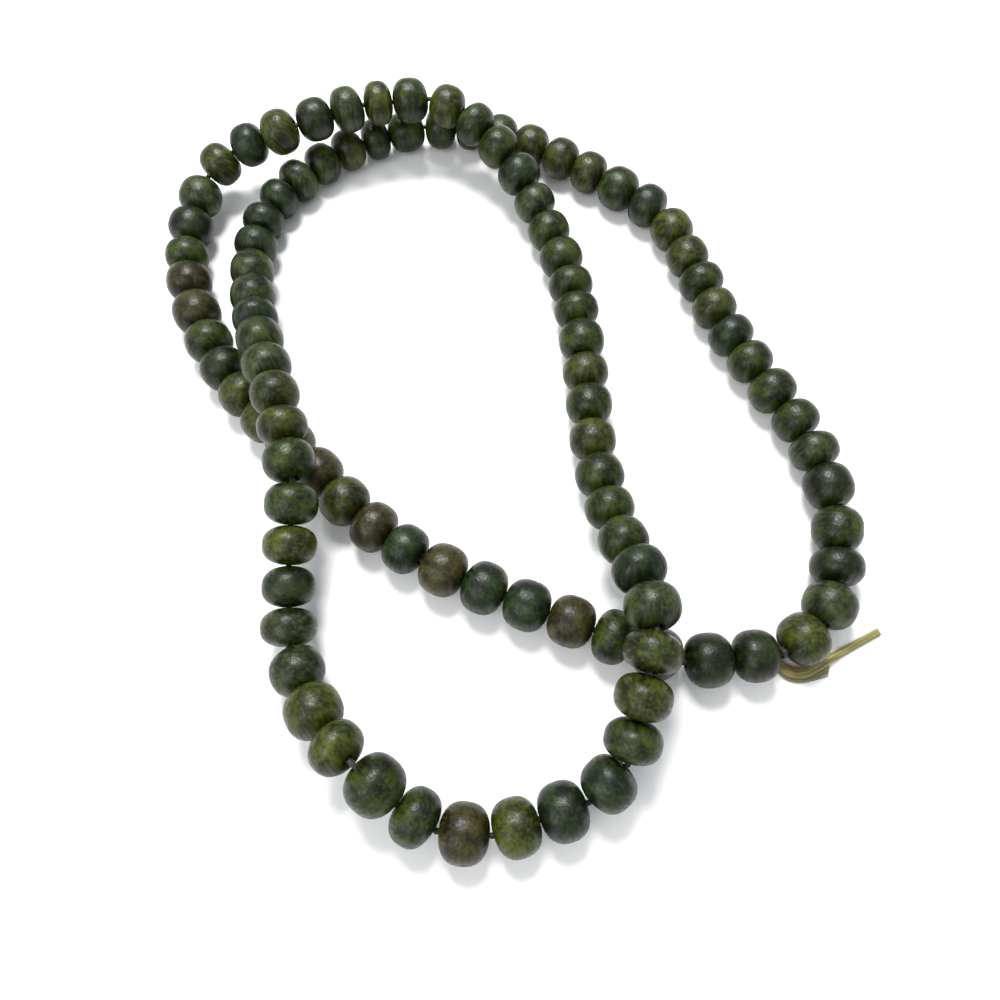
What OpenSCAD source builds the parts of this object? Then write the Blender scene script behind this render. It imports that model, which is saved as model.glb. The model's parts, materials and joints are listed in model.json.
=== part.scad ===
// Misbaha: a strand of hand-turned wooden prayer beads threaded on one cord, tied
// off with a strip of raffia and laid down in two turns. Millimetres, +Z up.
// The origin is on the surface that the strand lies on, under the middle of it.
// Every bead is drilled along its own axis and turns on the cord.

/* [Beads] */
// Mean diameter of a bead, across its bore
bead_d = 10; // [8:0.1:12]
// Mean length of a bead, along its bore
bead_len = 7.9; // [6.5:0.1:10]
// How square the turned outline is: 2 is an ellipse, 4 is nearly a barrel
bead_fullness = 2.5; // [2:0.1:4]
// How far the thickest bead is over the mean diameter, as a share
bead_spread = 0.03; // [0:0.005:0.05]
// How far the longest bead is over the mean length, as a share
length_spread = 0.14; // [0:0.01:0.2]
// Bore drilled through every bead
bore_d = 2; // [1.6:0.1:3]
// Width of the chamfer round each mouth of a bore
bore_chamfer = 0.25; // [0.1:0.05:0.5]
// Slack between two neighbouring beads
bead_gap = 0.15; // [0.05:0.05:0.5]

/* [Cord] */
// Thickness of the cord inside the beads
cord_d = 1.2; // [0.8:0.1:1.6]
// Room for the tied ends between the first and the last bead
tie_gap = 1; // [0.6:0.1:2]
// Thickness of the knot's lump
knot_d = 2.2; // [1.6:0.1:3]

/* [Raffia ends] */
// Width of the long free end
tail_w = 2.2; // [1.5:0.1:3]
// Thickness of the long free end
tail_t = 0.7; // [0.4:0.1:1]
// Width of the short end
short_w = 2.2; // [1.5:0.1:3]
// Thickness of the short end
short_t = 0.5; // [0.3:0.1:0.8]

/* [Lie of the strand] */
// Distance in which a strand climbs onto another, and comes down again
climb = 26; // [20:1:40]
// Clearance between a strand and the one that it crosses
cross_gap = 0.45; // [0.3:0.05:0.8]

/* [Hidden] */
// The route of the strand from the tie round both turns and back, each point as
// [x, y, rise, over]: rise is the height of a kink in bead diameters, and over
// is 1 where the strand lies on what was laid before it.
route = [
  [54, -52, 0, 0], [38, -54, 0, 0], [24, -49, 0, 0], [8, -43, 0, 0],
  [-8, -36, 0, 0], [-21, -28, 0, 0], [-35, -13, 0, 0], [-50, 2, 0, 0],
  [-62, 20, 0, 0], [-68, 38, 0, 0], [-69, 53, 0, 0], [-66, 62, 0, 0],
  [-58, 67, 0, 0], [-47, 69, 0, 1], [-36, 72, 0, 1], [-25, 78, 0, 1], [-14, 79, 0, 1],
  [1, 71, 0, 1], [11, 56, 0, 1], [18, 38, 0, 0], [21, 18, 0, 0],
  [22, -4, 0, 0], [23, -20, 0, 0], [27, -35, 0, 1], [30, -48, 0, 1],
  [27, -61, 0, 1], [24, -72, 0, 0], [12, -80, 0, 0], [-4, -82, 0, 0],
  [-14, -77, 0.2, 0], [-22, -70, 0.65, 0], [-29, -63, 0.15, 0], [-35, -49, 0, 0],
  [-35, -35, 0, 0], [-35, -20, 0, 1], [-40, -4, 0, 1], [-48, 17, 0, 1],
  [-53, 38, 0, 0], [-51, 55, 0, 0], [-39, 70, 0, 0], [-20, 81, 0, 0],
  [2, 80, 0, 0], [22, 68, 0, 0], [42, 52, 0, 0], [48, 34, 0, 0],
  [54, 15, 0, 0], [65, -5, 0, 0], [69, -24, 0, 0], [64, -44, 0, 0]
];
// Route points on either side that belong to the same stretch of strand
own_stretch = 3;
// Beads on the strand
bead_count = 101;
// Draws for the turner's luck with the lengths and with the widths
length_draw = 13;
width_draw = 11;
// Beads that lie as a single piece, where the strand bends most; the others lie in pairs
singles = [23, 30, 47, 48, 51, 54, 55, 56, 57, 100, 101];
// Route of the long end, as [along the cord, out from it, height] in bead diameters
tail_route = [
  [0, -0.45, 0.19], [0, -0.35, 0.17], [0, -0.25, 0.14], [0, -0.15, 0.12],
  [0, 0, 0.12], [0.02, 0.1, 0.12], [0.06, 0.2, 0.12], [0.14, 0.3, 0.12],
  [0.25, 0.36, 0.12], [0.4, 0.39, 0.12], [0.55, 0.38, 0.12], [0.75, 0.35, 0.12],
  [0.9, 0.33, 0.1], [1.1, 0.3, 0.07], [1.3, 0.27, 0.045], [1.5, 0.24, 0.04],
  [1.7, 0.21, 0.04], [1.9, 0.18, 0.04], [2.1, 0.15, 0.04]
];
// Route of the short end, in the same way
short_route = [
  [0, -0.4, 0.11], [0, -0.3, 0.06], [0, -0.2, 0.03], [0, -0.05, 0.03],
  [0.02, 0.1, 0.03], [0.07, 0.25, 0.03], [0.15, 0.36, 0.03], [0.3, 0.44, 0.03],
  [0.45, 0.47, 0.03], [0.7, 0.48, 0.03], [0.9, 0.48, 0.03]
];
// The knot's lump, in the same way
lump_place = [0, -0.38, 0.19];
// Wall of the knot's collar round the cord
collar_wall = 0.7;
// Thickness of the two ends where they are twisted together
twist_d = 0.9;
// Steps of the spline between two route points
route_steps = 8;
// Sides of the cord's tube and of the raffia strips
tube_sides = 8;
// Points along the turned outline of a bead
outline_steps = 16;
// Clearance between things that lie against each other
touch = 0.1;

top_d = bead_d * (1 + bead_spread);
bore_r = bore_d / 2;
mouth_r = bore_r + bore_chamfer;

// ---- turned outline: [radius, place along the bore] ----

function outline_end(dia) = acos(pow(mouth_r * 2 / dia, bead_fullness / 2));
function outline_at(dia, length, a) = [
  dia / 2 * pow(cos(a), 2 / bead_fullness),
  length / 2 * sign(a) * pow(abs(sin(a)) / sin(outline_end(dia)), 2 / bead_fullness)
];
function outline(dia, length) = [
  for (k = [0:outline_steps])
    outline_at(dia, length, outline_end(dia) * (2 * k / outline_steps - 1))
];
mean_outline = outline(bead_d, bead_len);
// How far a bead tilted by this angle reaches towards the next one
function reach(tilt) = max([for (q = mean_outline) q[0] * sin(tilt) + q[1] * cos(tilt)]);
// Room from the end of a bead to the point where the cord bends
function end_room(bend) =
  (reach(bend / 2) + bead_gap / 2) / cos(bend / 2) - bead_len / 2;

// ---- the strand's line ----

function spline(a, b, c, d, t) =
  0.5 * (2 * b + (c - a) * t + (2 * a - 5 * b + 4 * c - d) * t * t
    + (3 * b - a - 3 * c + d) * t * t * t);
route_n = len(route);
line_n = route_n * route_steps;
line = [
  for (i = [0:route_n - 1]) for (k = [0:route_steps - 1])
    spline(route[(i + route_n - 1) % route_n], route[i], route[(i + 1) % route_n],
      route[(i + 2) % route_n], k / route_steps)
];
function plan(p) = [p[0], p[1]];
function lengths_along(pts) = [
  for (i = 0, s = 0; i <= len(pts); s = s + (i < len(pts)
    ? norm(pts[(i + 1) % len(pts)] - pts[i]) : 0), i = i + 1) s
];
// A point of the line lifts the strand over it by this much
rest_d = top_d + cross_gap;
laid_first = [for (i = [0:line_n - 1]) if (line[i][3] < 0.5) i];
function ring_gap(i, j) = min(abs(i - j), line_n - abs(i - j));
function lift_at(i, scale_by) = line[i][3] < 0.5 ? 0 : max(concat([0], [
  for (j = laid_first)
    let (apart = norm(plan(line[i] - line[j])) * scale_by)
      if (apart < rest_d && ring_gap(i, j) > route_steps * own_stretch)
        sqrt(rest_d * rest_d - apart * apart)
]));
// The strand climbs in a smooth wave to each point that has to be lifted
function laid(scale_by) =
  let (
    along = lengths_along([for (p = line) plan(p) * scale_by]),
    lifts = [for (i = [0:line_n - 1]) lift_at(i, scale_by)],
    held = [for (i = [0:line_n - 1]) if (lifts[i] > 0) i]
  ) [
    for (i = [0:line_n - 1]) [
      line[i][0] * scale_by,
      line[i][1] * scale_by,
      top_d / 2 + max(0, line[i][2]) * bead_d + max(concat([0], [
        for (k = held)
          let (off = abs(along[i] - along[k]) / climb)
            if (off < 1) lifts[k] * (1 + cos(180 * off)) / 2
      ]))
    ]
  ];
function place(tables, s) = [for (t = tables) lookup(s, t)];
function tables_of(pts) =
  let (along = lengths_along(pts), n = len(pts))
    [for (axis = [0:2]) [for (i = [0:n]) [along[i], pts[i % n][axis]]]];
function total(list) = list * [for (x = list) 1];
function sum_to(list) = [for (i = 0, s = 0; i <= len(list); s = s + (i < len(list)
  ? list[i] : 0), i = i + 1) s];

// ---- beads in their groups ----

function is_single(b) = len([for (s = singles) if (s == b) s]) > 0;
// First bead of each group, numbered from 1 at the tie
firsts = [
  for (b = 1; b <= bead_count; b = b + (is_single(b) || is_single(b + 1)
    || b == bead_count ? 1 : 2)) b
];
group_n = len(firsts);
function group_size(g) = (g + 1 < group_n ? firsts[g + 1] : bead_count + 1) - firsts[g];
// No two hand-turned beads are the same: each is a little longer or wider by luck
length_luck = rands(-1, 1, bead_count, length_draw);
width_luck = rands(-1, 1, bead_count, width_draw);
function grade(b) = 1 + length_spread * length_luck[b - 1];
function group_grade(g) = grade(firsts[g]) + (group_size(g) > 1 ? grade(firsts[g] + 1) : 0);
grade_sum = total([for (g = [0:group_n - 1]) group_grade(g)]);
function bend_between(u, v) = acos(min(1, u * v));
function unit(v) = v / norm(v);
function corner_points(tables, shares, length) =
  let (marks = sum_to(shares), whole = total(shares))
    [for (g = [0:group_n - 1]) place(tables, marks[g] / whole * length)];
function directions(corners) = [
  for (g = [0:group_n - 1]) unit(corners[(g + 1) % group_n] - corners[g])
];
function bends(dirs) = [
  for (g = [0:group_n - 1]) bend_between(dirs[(g + group_n - 1) % group_n], dirs[g])
];
function rooms(turns) = [
  for (g = [0:group_n - 1]) end_room(turns[g]) + (g == 0 ? tie_gap / 2 : 0)
];
// Share of the strand that each group takes up, with the room at both its ends
function shares_of(ends, length_by) = [
  for (g = [0:group_n - 1]) group_grade(g) * length_by
    + (group_size(g) - 1) * bead_gap + ends[g] + ends[(g + 1) % group_n]
];
mean_by = bead_len * bead_count / grade_sum;
first_line = laid(1);
first_tables = tables_of(first_line);
first_length = lengths_along(first_line)[line_n];
first_shares = shares_of([for (g = [0:group_n - 1]) bead_gap / 2], mean_by);
first_ends = rooms(bends(directions(corner_points(first_tables, first_shares, first_length))));
strand_length = total(shares_of(first_ends, mean_by));
// The whole lie grows or shrinks until the strand fits on it
first_scale = strand_length / first_length;
second_line = laid(first_scale);
plan_scale = first_scale * strand_length / lengths_along(second_line)[line_n];
strand_line = laid(plan_scale);
strand_tables = tables_of(strand_line);
corners = corner_points(strand_tables, shares_of(first_ends, mean_by),
  lengths_along(strand_line)[line_n]);
dirs = directions(corners);
ends = rooms(bends(dirs));
function bead_dia(b) = bead_d * (1 + bead_spread * width_luck[b - 1]);
// Length of one bead: its graded share of what the group's stretch of cord leaves
function bead_length(g, b) =
  (norm(corners[(g + 1) % group_n] - corners[g]) - ends[g] - ends[(g + 1) % group_n]
    - (group_size(g) - 1) * bead_gap) * grade(b) / group_grade(g);
function group_beads(g) =
  let (
    one = bead_length(g, firsts[g]),
    at_one = corners[g] + dirs[g] * (ends[g] + one / 2)
  ) concat([[firsts[g], at_one, one]], group_size(g) < 2 ? [] : [
    let (two = bead_length(g, firsts[g] + 1))
      [firsts[g] + 1, at_one + dirs[g] * (one / 2 + bead_gap + two / 2), two]
  ]);
groups = [for (g = [0:group_n - 1]) group_beads(g)];
function half_span(g, bead, axis) =
  let (along = abs(dirs[g][axis]), across = sqrt(1 - along * along))
    max([for (q = outline(bead_dia(bead[0]), bead[2])) q[0] * across + q[1] * along]);
function side(axis, way) = max([
  for (g = [0:group_n - 1]) for (bead = groups[g])
    way * bead[1][axis] + half_span(g, bead, axis)
]);
// Puts the origin under the middle of the laid strand
centre = [(side(0, 1) - side(0, -1)) / 2, (side(1, 1) - side(1, -1)) / 2, 0];

function three_digits(n) = str(n < 100 ? "0" : "", n < 10 ? "0" : "", n);
function group_name(g) = group_size(g) < 2 ? str("bead_", three_digits(firsts[g]))
  : str("beads_", three_digits(firsts[g]), "_", three_digits(firsts[g] + 1));

// ---- solids ----

module bead(length, dia) {
  rotate_extrude($fn = 64)
    polygon(concat(
      [[bore_r, bore_chamfer - length / 2]],
      outline(dia, length),
      [[bore_r, length / 2 - bore_chamfer]]
    ));
}

module bead_group(g) {
  for (item = groups[g])
    color([0.24, 0.30, 0.13])
      translate(item[1] - centre)
        rotate([0, acos(dirs[g][2]), atan2(dirs[g][1], dirs[g][0])])
          bead(item[2], bead_dia(item[0]));
}

// A tube through rings of points; a closed one joins its last ring to its first
module tube(rings, closed) {
  n = len(rings);
  m = len(rings[0]);
  walls = [
    for (i = [0:n - (closed ? 1 : 2)]) for (k = [0:m - 1])
      each let (a = i * m, b = ((i + 1) % n) * m, l = (k + 1) % m)
        [[a + k, a + l, b + l], [a + k, b + l, b + k]]
  ];
  caps = closed ? [] : [
    for (k = [1:m - 2]) each [[0, k + 1, k], [(n - 1) * m, (n - 1) * m + k, (n - 1) * m + k + 1]]
  ];
  polyhedron(points = [for (r = rings) each r], faces = concat(walls, caps));
}

// Ring across a line: wide along a level side direction, thick at right angles to it
function ring(p, way, wide, thick, sides) =
  let (level = unit(cross(way, [0, 0, 1])), up = cross(level, way))
    [for (k = [0:sides - 1])
      let (a = 360 * (k + 0.5) / sides)
        p + level * wide / 2 * cos(a) / cos(180 / sides)
          + up * thick / 2 * sin(a) / cos(180 / sides)];

module cord() {
  color([0.70, 0.66, 0.42])
    tube([
      for (g = [0:group_n - 1])
        ring(corners[g] - centre,
          unit(dirs[(g + group_n - 1) % group_n] + dirs[g]), cord_d, cord_d, tube_sides)
    ], true);
}

// The tie's own directions: along the cord to the last bead, and out to the open side
tie_along = unit(-plan(dirs[group_n - 1]) - plan(dirs[0]));
tie_out = [tie_along[1], -tie_along[0]];
function at_tie(q) =
  let (flat = plan(corners[0] - centre) + (tie_along * q[0] + tie_out * q[1]) * bead_d)
    [flat[0], flat[1], q[2] * bead_d];

// Direction of the cord through the tie, and the knot's collar and twist round it
tie_way = unit(dirs[0] + dirs[group_n - 1]);
cord_r = cord_d / 2 / cos(180 / tube_sides);
collar_r = cord_r + collar_wall;

module strip(stops, wide, thick) {
  pts = [for (q = stops) at_tie(q)];
  n = len(pts);
  tube([
    for (i = [0:n - 1])
      ring(pts[i], unit(pts[min(n - 1, i + 1)] - pts[max(0, i - 1)]), wide, thick, tube_sides)
  ], false);
}

module tail() {
  color([0.72, 0.70, 0.45])
    strip(tail_route, tail_w, tail_t);
}

module short_end() {
  color([0.62, 0.62, 0.42])
    strip(short_route, short_w, short_t);
}

// The knot: a collar round the cord in the tie's gap, the two ends twisted together
// down from it, and the lump they are tied into on the low inner side
module knot() {
  middle = corners[0] - centre;
  lump = at_tie(lump_place);
  drop = lump - middle;
  color([0.66, 0.62, 0.38])
    difference() {
      union() {
        translate(middle)
          rotate([0, acos(tie_way[2]), atan2(tie_way[1], tie_way[0])])
            cylinder(h = tie_gap - 2 * touch, r = collar_r, center = true, $fn = 48);
        translate(middle)
          rotate([0, acos(drop[2] / norm(drop)), atan2(drop[1], drop[0])])
            cylinder(h = norm(drop), d = twist_d, $fn = 48);
        translate(lump)
          sphere(d = knot_d, $fn = 48);
      }
      translate(middle)
        rotate([0, acos(tie_way[2]), atan2(tie_way[1], tie_way[0])])
          cylinder(h = tie_gap + 2 * collar_r, r = cord_r + touch / 2, center = true, $fn = 48);
    }
}

cord();
knot();
tail();
short_end();
for (g = [0:group_n - 1])
  bead_group(g);
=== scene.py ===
# %% [markdown]
# A misbaha is a strand of prayer beads on one closed cord. This one has wooden beads,
# turned by hand and dyed green, and a strip of raffia ties the loop shut. The strand
# lies loose on a table in two turns. This lesson dresses the plain CAD model: every
# bead, the cord, the knot and both raffia ends get their own mesh and finish.

# %% Load the frame
import json
import math
import random

import bmesh
import bpy
from mathutils import Matrix, Vector, noise


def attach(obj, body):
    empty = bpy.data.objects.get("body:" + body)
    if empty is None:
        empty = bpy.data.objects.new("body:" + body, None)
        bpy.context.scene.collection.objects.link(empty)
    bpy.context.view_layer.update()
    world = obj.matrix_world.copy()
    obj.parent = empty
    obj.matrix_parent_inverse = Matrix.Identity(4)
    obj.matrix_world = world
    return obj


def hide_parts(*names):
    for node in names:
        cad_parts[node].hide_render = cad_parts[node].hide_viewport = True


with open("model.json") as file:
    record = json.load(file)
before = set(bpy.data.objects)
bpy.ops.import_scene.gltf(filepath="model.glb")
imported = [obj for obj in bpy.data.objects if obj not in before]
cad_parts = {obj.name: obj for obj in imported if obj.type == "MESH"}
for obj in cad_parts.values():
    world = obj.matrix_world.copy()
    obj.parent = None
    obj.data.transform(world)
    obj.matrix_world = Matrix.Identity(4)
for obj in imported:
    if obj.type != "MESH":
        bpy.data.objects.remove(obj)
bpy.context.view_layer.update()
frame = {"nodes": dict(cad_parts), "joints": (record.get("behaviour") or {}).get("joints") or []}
MM = 0.001
joints = frame["joints"]
STRING = "string"

# %% [markdown]
# The strand is looked at from the front and well above, as a person does who has just
# put it down on a table. A moderate wide lens close to the beads makes the near ones
# clearly larger than the far ones. The camera stands on the tied side of the strand.

# %% Camera
DOWNWARD = 65
LENS_MM = 28.08
EYE_MM = (3.6, -86.2, 143.6)
camera_data = bpy.data.cameras.new("camera")
camera_data.lens = LENS_MM
camera_data.clip_start = 5 * MM
camera = bpy.data.objects.new("camera", camera_data)
camera.location = Vector(EYE_MM) * MM
camera.rotation_euler = (math.radians(90 - DOWNWARD), 0, 0)
bpy.context.collection.objects.link(camera)
bpy.context.scene.camera = camera
bpy.context.scene.view_settings.view_transform = "Standard"
print("camera looks down at", DOWNWARD, "degrees from", EYE_MM)

# %% [markdown]
# Where the two ends of the cord meet there is a tie. Everything made of raffia hangs on
# it, so it is found first. The first and the last bead each state the line of their
# bore, and the two lines meet where the cord turns: that point is the tie. From it, one
# direction follows the cord towards the last bead and the other leads out to the open
# side, so a raffia route can be written down in bead diameters, wherever the tie lies.

# %% Find the tie
BEAD_D = 10 * MM


def bore_line(joint):
    return Vector(joint["pos_m"]), Vector(joint["axis"]).normalized()


def meeting_point(line_a, line_b):
    (a, u), (b, v) = line_a, line_b
    across = a - b
    lean = u.dot(v)
    along_a = (lean * v.dot(across) - u.dot(across)) / (1 - lean * lean)
    along_b = (v.dot(across) - lean * u.dot(across)) / (1 - lean * lean)
    return (a + u * along_a + b + v * along_b) / 2


first_line = bore_line(joints[0])
last_line = bore_line(joints[-1])
tie = meeting_point(first_line, last_line)
tie_along = -(last_line[1] + first_line[1]).to_2d().normalized()
tie_out = Vector((tie_along.y, -tie_along.x))


def at_tie(along, out, height):
    flat = tie.to_2d() + (tie_along * along + tie_out * out) * BEAD_D
    return Vector((flat.x, flat.y, height * BEAD_D))


print("tie in mm:", [round(v / MM, 1) for v in tie])

# %% [markdown]
# Cords and strips are long shapes with one cross-section, so a single sweep makes them
# all. A circle of vertices is flattened or pinched into the section, and then its edges
# are extruded from stop to stop, each time with the transform that carries one stop's
# frame into the next. Every vertex also keeps its own coordinates, in millimetres
# across, through and along the piece, as an attribute. A material that reads it has
# fibres that follow every bend.

# %% Sweep a section along a line
OWN_MM = "own_mm"
UP = Vector((0, 0, 1))


def smooth_line(stops, steps):
    """A Catmull-Rom line through the stops, open at both ends."""
    ends = [2 * stops[0] - stops[1], *stops, 2 * stops[-1] - stops[-2]]
    line = []
    for a, b, c, d in zip(ends, ends[1:], ends[2:], ends[3:]):
        for k in range(steps):
            t = k / steps
            line.append(0.5 * (2 * b + (c - a) * t + (2 * a - 5 * b + 4 * c - d) * t ** 2
                               + (3 * b - a - 3 * c + d) * t ** 3))
    return line + [stops[-1]]


def tangents(line, closed=False):
    n = len(line)
    found = []
    for i in range(n):
        before = line[(i - 1) % n] if closed else line[max(0, i - 1)]
        after = line[(i + 1) % n] if closed else line[min(n - 1, i + 1)]
        found.append((after - before).normalized())
    return found


def level_frames(line, closed=False):
    """A frame at each point: x is level, y points up from it and z follows the line."""
    frames = []
    for point, way in zip(line, tangents(line, closed)):
        side = way.cross(UP).normalized()
        turn = Matrix((side, side.cross(way) * -1, way)).transposed().to_4x4()
        frames.append(Matrix.Translation(point) @ turn)
    return frames


def lengths(line):
    run = [0.0]
    for a, b in zip(line, line[1:]):
        run.append(run[-1] + (b - a).length)
    return run


def sweep(bm, frames, section, scales, closed=False):
    """Extrudes a section through the frames. scales gives (wide, thick, twist) at each."""
    own = bm.verts.layers.float_vector.get(OWN_MM) or bm.verts.layers.float_vector.new(OWN_MM)
    run = lengths([f.translation for f in frames])

    def placed(i):
        wide, thick, twist = scales(i, run[i])
        shape = Matrix.Diagonal((wide, thick, 1, 1))
        return frames[i] @ Matrix.Rotation(twist, 4, "Z") @ shape

    def note(verts, i):
        back = frames[i].inverted()
        for v in verts:
            flat = back @ v.co
            v[own] = Vector((flat.x / MM, flat.y / MM, run[i] / MM))

    ring = bmesh.ops.create_circle(bm, segments=len(section), radius=1)["verts"]
    for v, (x, y) in zip(ring, section):
        v.co = (x, y, 0)
    edges = list({e for v in ring for e in v.link_edges})
    first_edges = list(edges)
    bmesh.ops.transform(bm, matrix=placed(0), verts=ring)
    note(ring, 0)
    for i in range(1, len(frames)):
        made = bmesh.ops.extrude_edge_only(bm, edges=edges)["geom"]
        ring = [g for g in made if isinstance(g, bmesh.types.BMVert)]
        new_ring = set(ring)
        edges = [g for g in made if isinstance(g, bmesh.types.BMEdge)
                 and g.verts[0] in new_ring and g.verts[1] in new_ring]
        bmesh.ops.transform(bm, matrix=placed(i) @ placed(i - 1).inverted(), verts=ring)
        note(ring, i)
    if closed:
        bmesh.ops.bridge_loops(bm, edges=first_edges + edges)
    else:
        bmesh.ops.edgeloop_fill(bm, edges=first_edges)
        bmesh.ops.edgeloop_fill(bm, edges=edges)


def unit_oval(sides):
    """A unit circle of points. The scales of a sweep flatten it into an oval."""
    points = []
    for k in range(sides):
        a = math.tau * (k + 0.5) / sides
        points.append((math.cos(a), math.sin(a)))
    return points


def finished(bm, name, body, material, nodes):
    """Turns a bmesh into a piece that rides on a body and stands for CAD nodes."""
    bmesh.ops.recalc_face_normals(bm, faces=bm.faces)
    for face in bm.faces:
        face.smooth = True
    mesh = bpy.data.meshes.new(name)
    bm.to_mesh(mesh)
    bm.free()
    mesh.materials.append(material)
    piece = bpy.data.objects.new(name, mesh)
    bpy.context.collection.objects.link(piece)
    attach(piece, body)
    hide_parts(*nodes)
    return piece


# %% [markdown]
# Materials are node trees. One helper adds a node with its settings and its links, and
# another turns an sRGB hex colour into the linear values that nodes work in.

# %% Node helper and colours


def linear(hex_colour):
    parts = [int(hex_colour[i:i + 2], 16) / 255 for i in (0, 2, 4)]
    curved = [c / 12.92 if c <= 0.04045 else ((c + 0.055) / 1.055) ** 2.4 for c in parts]
    return (*curved, 1.0)


def add(tree, kind, links=None, **settings):
    """Adds a node. links maps an input's name or number to a value or an output."""
    made = tree.nodes.new(kind)
    for name, value in settings.items():
        setattr(made, name, value)
    for key, value in (links or {}).items():
        if isinstance(value, bpy.types.NodeSocket):
            tree.links.new(value, made.inputs[key])
        else:
            made.inputs[key].default_value = value
    return made


def ramp(tree, factor, stops):
    """A colour ramp over (position, hex colour) stops."""
    made = add(tree, "ShaderNodeValToRGB", {"Fac": factor})
    elements = made.color_ramp.elements
    while len(elements) < len(stops):
        elements.new(0.5)
    for element, (position, colour) in zip(elements, stops):
        element.position = position
        element.color = linear(colour)
    return made.outputs["Color"]


def blank_material(name):
    material = bpy.data.materials.new(name)
    material.use_nodes = True
    tree = material.node_tree
    tree.nodes.clear()
    shader = add(tree, "ShaderNodeBsdfPrincipled")
    add(tree, "ShaderNodeOutputMaterial", {"Surface": shader.outputs["BSDF"]})
    own = add(tree, "ShaderNodeAttribute", attribute_name=OWN_MM).outputs["Vector"]
    return material, tree, shader, own


def noise_at(tree, place, per_mm, **links):
    """Noise with per_mm cells in a millimetre. place is in millimetres."""
    made = add(tree, "ShaderNodeTexNoise", {"Vector": place, "Scale": per_mm})
    for key, value in links.items():
        made.inputs[key.capitalize()].default_value = value
    return made.outputs["Fac"]


def stretched(tree, place, scale):
    return add(tree, "ShaderNodeMapping", {"Vector": place, "Scale": scale}).outputs["Vector"]


def mixed(tree, blend, factor, a, b):
    made = add(tree, "ShaderNodeMix", data_type="RGBA", blend_type=blend)
    for socket, value in ((0, factor), (6, a), (7, b)):
        if isinstance(value, bpy.types.NodeSocket):
            tree.links.new(value, made.inputs[socket])
        else:
            made.inputs[socket].default_value = value
    return made.outputs[2]


def spread(tree, value, low, high, to_low, to_high):
    return add(tree, "ShaderNodeMapRange", {"Value": value, "From Min": low, "From Max": high,
                                            "To Min": to_low, "To Max": to_high}).outputs[0]


# %% [markdown]
# Raffia is the skin of a palm leaf, peeled off in strips. It is dry and straw-coloured
# with a little green left in it, and its fibres run the whole length, so the colour and
# the bump both come from noise drawn out along the strip. It shines a little more along
# its pale fibres, which are just under half a millimetre wide. Near the tie both ends
# carry a blotchy reddish stain. The twine inside the beads and in the knot is the same
# raffia, but painted nearly black: that dark is painted shade, standing in for the
# shadow in the gaps between two beads, where a little of the twine shows.

# %% Raffia
FIBRE_PER_MM = 2.2
FIBRE_HEIGHT = 0.12 * MM
RED_STAIN = "6a3f24"


def raffia(name, shade, straw, pale, stain_to_mm=0.0):
    material, tree, shader, own = blank_material(name)
    fibres = noise_at(tree, stretched(tree, own, (1, 1.4, 0.05)), FIBRE_PER_MM,
                      detail=4, roughness=0.65)
    patches = noise_at(tree, stretched(tree, own, (1, 1, 0.35)), 0.5, detail=2)
    colour = ramp(tree, fibres, [(0.34, shade), (0.5, straw), (0.66, pale)])
    ageing = ramp(tree, patches, [(0.35, "b8a878"), (0.65, "ffffff")])
    colour = mixed(tree, "MULTIPLY", 0.6, colour, ageing)
    if stain_to_mm:
        along = add(tree, "ShaderNodeSeparateXYZ", {"Vector": own}).outputs["Z"]
        near = spread(tree, along, stain_to_mm - 2.2, stain_to_mm, 0.75, 0)
        blotch = noise_at(tree, own, 0.9, detail=3)
        stain = add(tree, "ShaderNodeMath", {0: near, 1: blotch}, operation="MULTIPLY")
        colour = mixed(tree, "MIX", stain.outputs[0], colour, linear(RED_STAIN))
    tree.links.new(colour, shader.inputs["Base Color"])
    tree.links.new(spread(tree, fibres, 0.3, 0.7, 0.62, 0.48), shader.inputs["Roughness"])
    bump = add(tree, "ShaderNodeBump", {"Height": fibres, "Strength": 0.7,
                                        "Distance": FIBRE_HEIGHT})
    tree.links.new(bump.outputs["Normal"], shader.inputs["Normal"])
    shader.inputs["Sheen Weight"].default_value = 0.12
    return material


raffia_strip = raffia("raffia_strip", "4a4726", "79743f", "a39d62", stain_to_mm=10.5)
raffia_old = raffia("raffia_weathered", "4b4a33", "77744f", "a3a07a", stain_to_mm=6.5)
# The twine's near-black colours are painted shade: they stand in for the shadow between the beads.
twine_painted_shade = raffia("dark_twine_painted_shade", "0b0c08", "17180e", "2b2b1a")

# %% [markdown]
# The long end of the raffia is a narrow strip that has curled in on itself along its
# length, so it reads as a rib with a groove. It leaves the knot on the low inner side,
# passes under the cord between the first and the last bead, turns along the last bead
# and ends where scissors cut it. It is 30 mm long, and about 2 mm of that is in the knot.
# Its route is the one that the CAD model gives it, in bead diameters from the tie.

# %% Long end
TAIL_W = 2.2 * MM
TAIL_T = 0.7 * MM
tail_route = [
    (0, -0.45, 0.19), (0, -0.35, 0.17), (0, -0.25, 0.14), (0, -0.15, 0.12),
    (0, 0, 0.12), (0.02, 0.1, 0.12), (0.06, 0.2, 0.12), (0.14, 0.3, 0.12),
    (0.25, 0.36, 0.12), (0.4, 0.39, 0.12), (0.55, 0.38, 0.12), (0.75, 0.35, 0.12),
    (0.9, 0.33, 0.1), (1.1, 0.3, 0.07), (1.3, 0.27, 0.045), (1.5, 0.24, 0.04),
    (1.7, 0.21, 0.04), (1.9, 0.18, 0.04), (2.1, 0.15, 0.04),
]


def curled_strip(sides, curl):
    """A flat oval with a groove along its upper side, as a strip that curls in."""
    points = []
    for x, y in unit_oval(sides):
        dent = curl * max(0, 1 - (x / 0.55) ** 2) if y > 0 else 0
        points.append((x, y - dent))
    return points


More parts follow.
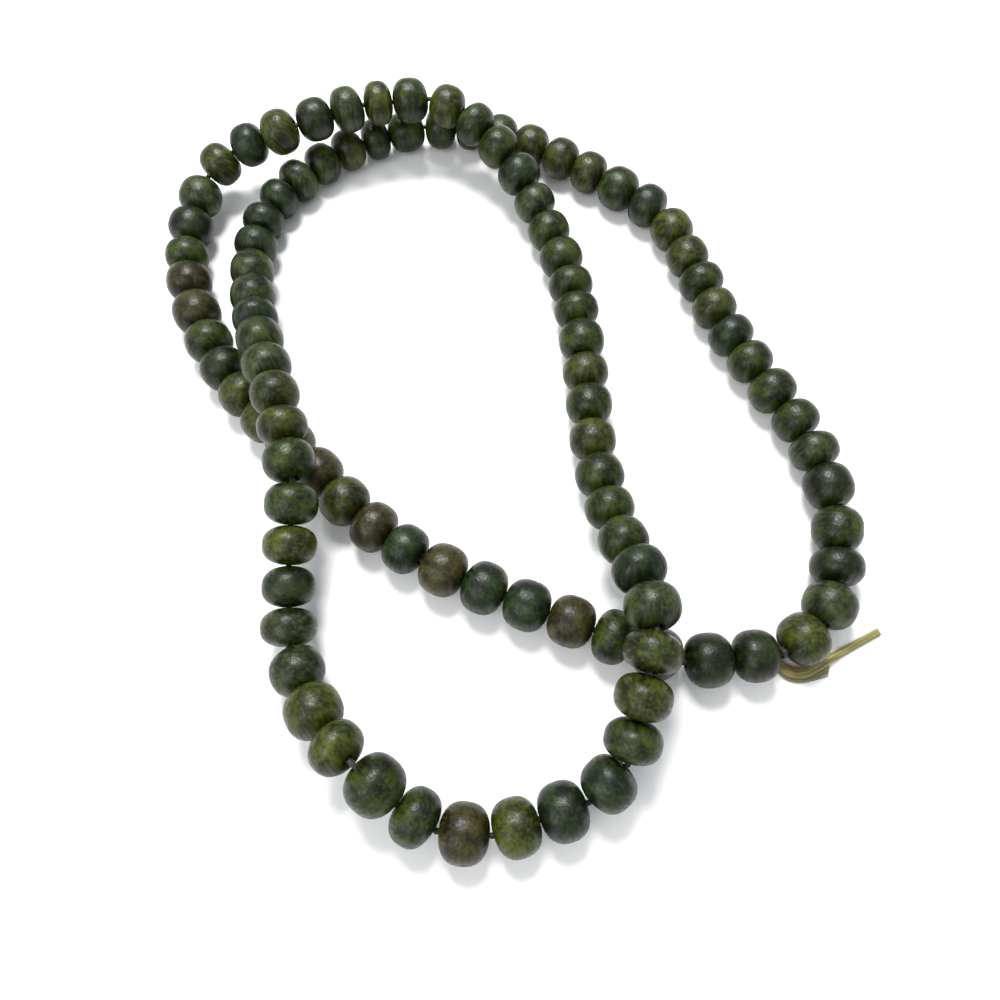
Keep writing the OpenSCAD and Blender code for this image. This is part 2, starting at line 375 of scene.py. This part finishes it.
def strip_scales(wide, thick, whole, widest_at, tip, wobble_seed):
    """Narrow where it is tied, widest at one point and narrowing to a share at its tip."""
    def scales(i, run):
        root = 0.6 + 0.4 * min(1, run / widest_at)
        past = max(0, (run - widest_at) / (whole - widest_at))
        wave = 0.07 * noise.noise(Vector((run / MM * 0.3, wobble_seed, 0)))
        return wide / 2 * (root - (1 - tip) * min(1, 1.6 * past) + wave), thick / 2 * (1 - wave), 0.0
    return scales


tail_line = smooth_line([at_tie(*stop) for stop in tail_route], 5)
bm = bmesh.new()
sweep(bm, level_frames(tail_line), curled_strip(20, 0.5),
      strip_scales(TAIL_W, TAIL_T, lengths(tail_line)[-1], 9 * MM, 0.66, 3.1))
tail = finished(bm, "raffia_long_end", STRING, raffia_strip, ["tail"])
print("long end in mm:", round(lengths(tail_line)[-1] / MM, 1))

# %% [markdown]
# The short end is the other end of the same raffia, cut close to the tie. It lies flat
# on the table under the long end, weathered greyer, and its scissor cut runs at a slant.
# A strip is swept as before, and then one plane cuts its tip off at that slant.

# %% Short end
SHORT_W = 2.2 * MM
SHORT_T = 0.5 * MM
CUT_SLANT = math.radians(35)
CUT_PLACE = (0.87, 0.48, 0.03)
short_route = [
    (0, -0.4, 0.11), (0, -0.3, 0.06), (0, -0.2, 0.03), (0, -0.05, 0.03),
    (0.02, 0.1, 0.03), (0.07, 0.25, 0.03), (0.15, 0.36, 0.03), (0.3, 0.44, 0.03),
    (0.45, 0.47, 0.03), (0.7, 0.48, 0.03), (0.9, 0.48, 0.03),
]
short_line = smooth_line([at_tie(*stop) for stop in short_route], 5)
bm = bmesh.new()
sweep(bm, level_frames(short_line), curled_strip(18, 0.25),
      strip_scales(SHORT_W, SHORT_T, lengths(short_line)[-1], 7 * MM, 1.0, 8.4))
slant = tie_along * math.cos(CUT_SLANT) + tie_out * math.sin(CUT_SLANT)
cut_point = at_tie(*CUT_PLACE)
cut = bmesh.ops.bisect_plane(bm, geom=bm.verts[:] + bm.edges[:] + bm.faces[:],
                             plane_co=cut_point, plane_no=slant.to_3d(), clear_outer=True)
rim = [g for g in cut["geom_cut"] if isinstance(g, bmesh.types.BMEdge)]
bmesh.ops.edgeloop_fill(bm, edges=rim)
finished(bm, "raffia_short_end", STRING, raffia_old, ["short_end"])
print("short end in mm:", round(lengths(short_line)[-1] / MM, 1))

# %% [markdown]
# Each bead takes its place, length and diameter from its CAD solid. A node holds one
# bead or two on one straight stretch of cord, so its vertices are read as distances
# along the bore line: the ends give the lengths and the widest rings give the centres.

# %% Read the beads from the frame
class Bead:
    """One bead: its number, body, centre, bore direction, length and diameter."""

    def __init__(self, number, body, centre, way, length, diameter):
        self.number, self.body = number, body
        self.centre, self.way = centre, way
        self.length, self.diameter = length, diameter


def beads_of(joint):
    at, way = bore_line(joint)
    reach = []
    for v in frame["nodes"][joint["child"]].data.vertices:
        along = (v.co - at).dot(way)
        reach.append((along, (v.co - at - way * along).length))
    low = min(reach)[0]
    high = max(reach)[0]
    numbers = [int(n) for n in joint["child"].split("_")[1:]]
    halves = [(low, high)] if len(numbers) == 1 else [(low, (low + high) / 2),
                                                      ((low + high) / 2, high)]
    found = []
    for number, (start, stop) in zip(numbers, halves):
        radius, centre = max((r, t) for t, r in reach if start <= t <= stop)
        half = centre - low if start == low else high - centre
        found.append(Bead(number, joint["child"], at + way * centre, way, 2 * half, 2 * radius))
    return found


beads = [bead for joint in joints for bead in beads_of(joint)]
print(len(beads), "beads,", round(min(b.length for b in beads) / MM, 2), "to",
      round(max(b.length for b in beads) / MM, 2), "mm long")

# %% [markdown]
# The cord is raffia twine: two plies twisted round each other. It could be a plain tube
# with a striped bump, but where a bend opens the beads it is seen from close by, so the
# two plies are real. A section with two lobes is swept from corner to corner of the
# strand and turned as it goes. The corners are where the bore lines of neighbouring
# groups of beads meet, and inside a bore the cord runs straight.

# %% Cord
CORD_D = 1.2 * MM
PLY_TURN_MM = 3.2
CORD_STEP = 0.55 * MM
LINED_UP = math.radians(6)


def corner_between(bead, following):
    """Where the bores of two neighbours meet; halfway between the two if they line up."""
    if bead.way.angle(following.way) > LINED_UP:
        return meeting_point((bead.centre, bead.way), (following.centre, following.way))
    end = bead.centre + bead.way * bead.length / 2
    start = following.centre - following.way * following.length / 2
    return (end + start) / 2


corners = [tie] + [corner_between(a, b) for a, b in zip(beads, beads[1:]) if a.body != b.body]


def walked(points, step):
    """Points along a closed polygon, evenly spaced on each of its sides."""
    line = []
    for a, b in zip(points, points[1:] + points[:1]):
        parts = max(2, round((b - a).length / step))
        line += [a.lerp(b, k / parts) for k in range(parts)]
    return line


def two_plies(sides):
    """A unit section of two round plies lying against each other."""
    points = []
    for k in range(sides):
        a = math.tau * k / sides
        points.append((math.cos(a), math.sin(a) * (0.72 - 0.16 * math.cos(2 * a))))
    return points


cord_line = walked(corners, CORD_STEP)
turns = round(lengths(cord_line)[-1] / MM / PLY_TURN_MM)
per_step = math.tau * turns / len(cord_line)
bm = bmesh.new()
sweep(bm, level_frames(cord_line, closed=True), two_plies(12),
      lambda i, run: (CORD_D / 2, CORD_D / 2, per_step * i), closed=True)
# The cord's near-black colour is painted shade for the gaps between the beads.
finished(bm, "twine_cord", STRING, twine_painted_shade, ["cord"])
print("cord in mm:", round(lengths(cord_line)[-1] / MM), "with", turns, "turns of its plies")

# %% [markdown]
# The knot is small and sits low between the first and the last bead. The twine goes
# twice round the cord as a collar, its two ends run down twisted together, and they
# close in an overhand knot. An overhand knot pulled tight has the shape of a trefoil,
# so a strand swept along a small trefoil gives its real crossings.

# %% Knot
KNOT_D = 2.2 * MM
STRAND = 0.34 * MM
TWIST_R = 0.22 * MM
LUMP_PLACE = (0, -0.38, 0.19)
lump = at_tie(*LUMP_PLACE)
cord_way = (first_line[1] + last_line[1]).normalized()


def square_frame(z_axis, at):
    x_axis = z_axis.orthogonal().normalized()
    turn = Matrix((x_axis, z_axis.cross(x_axis), z_axis)).transposed().to_4x4()
    return Matrix.Translation(at) @ turn


def trefoil(at, size, steps):
    line = []
    for k in range(steps):
        t = math.tau * k / steps
        shape = Vector((math.sin(t) + 2 * math.sin(2 * t), math.cos(t) - 2 * math.cos(2 * t),
                        -1.1 * math.sin(3 * t)))
        line.append(at + shape * size)
    return line


def helix(frame_, radius, height, winds, steps, start=0.0):
    line = []
    for k in range(steps + 1):
        a = start + math.tau * winds * k / steps
        line.append(frame_ @ Vector((radius * math.cos(a), radius * math.sin(a),
                                     height * (k / steps - 0.5))))
    return line


def strand_of(thick):
    return lambda i, run: (thick, thick * 0.8, 0.0)


def round_frames(line, closed=False):
    """Frames that turn as little as they can from one stop to the next."""
    ways = tangents(line, closed)
    side = ways[0].orthogonal().normalized()
    frames = []
    for point, way in zip(line, ways):
        side = (side - way * side.dot(way)).normalized()
        turn = Matrix((side, way.cross(side), way)).transposed().to_4x4()
        frames.append(Matrix.Translation(point) @ turn)
    return frames


bm = bmesh.new()
drop = lump - tie
middle = tie.lerp(lump, 0.5)
for start in (0, math.pi):
    twist = helix(square_frame(drop.normalized(), middle), TWIST_R, drop.length, 2, 30, start)
    sweep(bm, round_frames(twist), unit_oval(8), strand_of(TWIST_R))
collar = helix(square_frame(cord_way, tie), CORD_D / 2 + STRAND * 0.9, 0.5 * MM, 2, 40)
sweep(bm, round_frames(collar), unit_oval(8), strand_of(STRAND * 0.75))
loop = trefoil(lump, (KNOT_D / 2 - STRAND) / 3.1, 72)
sweep(bm, round_frames(loop, closed=True), unit_oval(10), strand_of(STRAND), closed=True)
finished(bm, "raffia_knot", STRING, twine_painted_shade, ["knot"])
print("knot's lump is", round(KNOT_D / MM, 1), "mm thick")

# %% [markdown]
# The beads are a fine-grained hardwood such as olive or boxwood, dyed green in small
# lots. Dye soaks into the wood unevenly: soft early wood drinks it and turns dark, dense
# late wood stays yellow-green, and it gathers in blurred patches. A thin oil finish
# leaves a satin highlight that the open grain breaks up, so the gloss is kept low. The
# rim of each bore is rubbed paler. The lots differ, from olive to blue-green and nearly
# brown, so each lot is a material of its own. Across the grain, patches are three to
# four millimetres wide, bands two and streaks about six tenths, all drawn out along it.

# %% Dyed wood
PATCH_PER_MM = 0.28
BAND_PER_MM = 0.55
STREAK_PER_MM = 1.6
PORE_PER_MM = 4.5
WOOD_GLOSS = 0.25
GRAIN_HEIGHT = 0.13 * MM


def dyed_wood(name, dark, dye, light):
    material, tree, shader, own = blank_material(name)
    patches = noise_at(tree, stretched(tree, own, (1, 1, 0.35)), PATCH_PER_MM,
                       detail=1, roughness=0.4, distortion=0.4)
    colour = ramp(tree, patches, [(0.3, dark), (0.5, dye), (0.74, light)])
    bands = noise_at(tree, stretched(tree, own, (1, 1, 0.14)), BAND_PER_MM,
                     detail=2, roughness=0.45, distortion=0.3)
    colour = mixed(tree, "MIX", spread(tree, bands, 0.5, 0.72, 0, 0.5), colour, linear(light))
    colour = mixed(tree, "MIX", spread(tree, bands, 0.28, 0.5, 0.5, 0), colour, linear(dark))
    grain = noise_at(tree, stretched(tree, own, (1, 1, 0.07)), STREAK_PER_MM,
                     detail=2, roughness=0.5, distortion=0.15)
    streaks = ramp(tree, grain, [(0.34, "9a9a8c"), (0.52, "ffffff")])
    colour = mixed(tree, "MULTIPLY", 0.8, colour, streaks)
    lifted = spread(tree, grain, 0.5, 0.7, 0, 0.6)
    colour = mixed(tree, "MIX", lifted, colour, linear(light))
    pores = noise_at(tree, stretched(tree, own, (1, 1, 0.2)), PORE_PER_MM, detail=2)
    flecks = spread(tree, pores, 0.3, 0.4, 0.25, 0)
    colour = mixed(tree, "MULTIPLY", flecks, colour, linear("4a4a3c"))
    worn = add(tree, "ShaderNodeAttribute", attribute_name="worn").outputs["Fac"]
    rubbed = add(tree, "ShaderNodeMath", {0: worn, 1: grain}, operation="MULTIPLY").outputs[0]
    colour = mixed(tree, "MIX", rubbed, colour, linear("38351d"))
    tree.links.new(colour, shader.inputs["Base Color"])
    tree.links.new(spread(tree, grain, 0.35, 0.7, 0.42, 0.25), shader.inputs["Roughness"])
    shader.inputs["Specular IOR Level"].default_value = WOOD_GLOSS
    relief = mixed(tree, "MIX", 0.35, grain, pores)
    bump = add(tree, "ShaderNodeBump", {"Height": relief, "Strength": 0.85,
                                        "Distance": GRAIN_HEIGHT})
    tree.links.new(bump.outputs["Normal"], shader.inputs["Normal"])
    return material


dye_lots = {
    "yellow_green": dyed_wood("dyed_wood_yellow_green", "131705", "272e08", "454c12"),
    "olive": dyed_wood("dyed_wood_olive", "101405", "222808", "3e4412"),
    "green": dyed_wood("dyed_wood_green", "0a1004", "182306", "354010"),
    "dark": dyed_wood("dyed_wood_dark", "070b04", "101806", "27310f"),
    "blue_green": dyed_wood("dyed_wood_blue_green", "080e07", "121e0b", "283618"),
    "sage": dyed_wood("dyed_wood_sage", "0d1207", "1d250f", "3c451f"),
    "brown": dyed_wood("dyed_wood_brown", "110f07", "24220b", "3d3916"),
}
print(len(dye_lots), "dye lots")

# %% [markdown]
# A bead is turned on a small lathe from a drilled stick, so its outline is spun round
# the bore. Hand turning leaves each one a little different: fuller or leaner, its belly
# off the middle, its faces not quite true. Each outline gets its own seeded character,
# and after the spin soft noise takes up to four hundredths of the radius away. It only
# takes away, so a bead stays inside its CAD solid and turns without touching another.

# %% Turn a bead
BORE_R = 1.0 * MM
CHAMFER = 0.25 * MM
OUTLINE_STEPS = 18
SPIN_STEPS = 40
FULL_LOW = 2.3
FULL_HIGH = 2.5
CAD_FULL = 2.5
LEAN = 0.04
HAND_DEPTH = 0.03
TOOL_DEPTH = 0.01
GRAIN_TILT = 0.35
WORN_RIM = 0.9 * MM


def outline(bead, luck):
    """[radius, place along the bore] from one mouth to the other."""
    half = bead.length / 2
    mouth = BORE_R + CHAMFER
    full = luck.uniform(FULL_LOW, FULL_HIGH)
    lean = luck.uniform(-LEAN, LEAN)
    end = math.acos((mouth * 2 / bead.diameter) ** (CAD_FULL / 2))
    points = []
    for k in range(OUTLINE_STEPS + 1):
        a = end * (2 * k / OUTLINE_STEPS - 1)
        share = (abs(math.sin(a)) / math.sin(end)) ** (2 / CAD_FULL)
        z = half * math.copysign(share, a)
        r = bead.diameter / 2 * math.cos(a) ** (2 / CAD_FULL)
        slim = (math.cos(a) ** (2 / full)) / (math.cos(a) ** (2 / CAD_FULL))
        off = 1 - abs(lean) * (0.5 - 0.5 * math.copysign(1, lean) * z / half) * (1 - share ** 4)
        points.append((max(mouth, r * min(1, slim) * off), z))
    return points


def turned(bead):
    luck = random.Random(bead.number * 7919)
    bm = bmesh.new()
    rim = outline(bead, luck)
    half = bead.length / 2
    bore = [(BORE_R, half - CHAMFER), (BORE_R, CHAMFER - half)]
    verts = [bm.verts.new((r, 0, z)) for r, z in rim + bore]
    for a, b in zip(verts, verts[1:] + verts[:1]):
        bm.edges.new((a, b))
    bmesh.ops.spin(bm, geom=verts + bm.edges[:], cent=(0, 0, 0), axis=(0, 0, 1),
                   angle=math.tau, steps=SPIN_STEPS, use_merge=True)
    own = bm.verts.layers.float_vector.new(OWN_MM)
    worn = bm.verts.layers.float.new("worn")
    stick = Vector([luck.uniform(-400, 400) for _ in range(3)])
    lie = Matrix.Rotation(math.radians(90) + luck.uniform(-GRAIN_TILT, GRAIN_TILT), 3, "X")
    lie.rotate(Matrix.Rotation(luck.uniform(0, math.tau), 3, "Z"))
    shape_seed = Vector([luck.uniform(-90, 90) for _ in range(3)])
    depth = luck.uniform(0.0, HAND_DEPTH)
    for v in bm.verts:
        r = v.co.to_2d().length
        belly = max(0, min(1, (r - BORE_R - 2 * CHAMFER) / (bead.diameter / 4)))
        wave = noise.noise(v.co / MM * 0.16 + shape_seed)
        dents = noise.noise(v.co / MM * 0.45 + shape_seed)
        cut = depth * (0.5 + 0.5 * wave) + TOOL_DEPTH * (0.5 + 0.5 * dents)
        v.co.x *= 1 - cut * belly
        v.co.y *= 1 - cut * belly
        v[own] = lie @ (v.co / MM) + stick
        v[worn] = 1 - min(1, abs(r - BORE_R - CHAMFER) / WORN_RIM)
    place = Matrix.Translation(bead.centre) @ bead.way.to_track_quat("Z", "Y").to_matrix().to_4x4()
    bmesh.ops.transform(bm, matrix=place, verts=bm.verts)
    return bm


# %% [markdown]
# A string is threaded from mixed dye lots. Some beads on it catch the eye, such as the
# nearly brown ones and some bright ones, and these are named by their number from
# the tie on. A seeded draw picks the lot of every other bead, with
# green the commonest.

# %% Thread the beads
CATCH_THE_EYE = {
    "brown": (5, 8, 10, 12, 18, 19, 54),
    "yellow_green": (23, 25, 28, 48, 49, 53, 57, 58, 62),
    "blue_green": (7, 9, 51, 52, 72, 73),
    "sage": (59, 60, 70, 71),
}
SHARES = {"green": 5, "olive": 3, "dark": 2, "sage": 2, "blue_green": 2, "yellow_green": 1}
named_lots = {number: lot for lot, numbers in CATCH_THE_EYE.items() for number in numbers}
lot_luck = random.Random(33)
for bead in beads:
    drawn = lot_luck.choices(list(SHARES), weights=list(SHARES.values()))[0]
    lot = named_lots.get(bead.number, drawn)
    finished(turned(bead), f"turned_bead_{bead.number:03d}", bead.body, dye_lots[lot],
             [bead.body])
print(len(beads), "beads threaded from", len(dye_lots), "dye lots")

# %% [markdown]
# The table is a plain white sheet and the light is a soft box high above, leaning in
# from the far side, so the highlight lies on the upper side of each bead. A pale world
# and a weak wide light fill the rest, and the white table lights the beads from below.

# %% Table
bm = bmesh.new()
bmesh.ops.create_grid(bm, x_segments=4, y_segments=4, size=1.5)
table_mesh = bpy.data.meshes.new("table")
bm.to_mesh(table_mesh)
bm.free()
table_top, tree, shader, _ = blank_material("white_card")
place = add(tree, "ShaderNodeTexCoord").outputs["Object"]
fleck = noise_at(tree, place, 900, detail=3)
tree.links.new(ramp(tree, fleck, [(0.3, "ebebe9"), (0.7, "eeeeed")]), shader.inputs["Base Color"])
shader.inputs["Roughness"].default_value = 0.9
shader.inputs["Specular IOR Level"].default_value = 0.1
table_mesh.materials.append(table_top)
table = bpy.data.objects.new("table", table_mesh)
bpy.context.collection.objects.link(table)

# %% Lights


def soft_box(name, at_mm, target_mm, size_mm, watts):
    data = bpy.data.lights.new(name, "AREA")
    data.shape = "DISK"
    data.size = size_mm * MM
    data.energy = watts
    light = bpy.data.objects.new(name, data)
    light.location = Vector(at_mm) * MM
    aim = Vector(target_mm) * MM - light.location
    light.rotation_euler = aim.to_track_quat("-Z", "Y").to_euler()
    bpy.context.collection.objects.link(light)


soft_box("key", (-60, 260, 560), (0, 0, 0), 240, 5.4)
soft_box("fill", (-300, -350, 420), (0, 0, 0), 520, 2.0)
world = bpy.data.worlds.new("world")
world.use_nodes = True
world.node_tree.nodes["Background"].inputs["Color"].default_value = linear("f2f5fa")
world.node_tree.nodes["Background"].inputs["Strength"].default_value = 0.75
bpy.context.scene.world = world
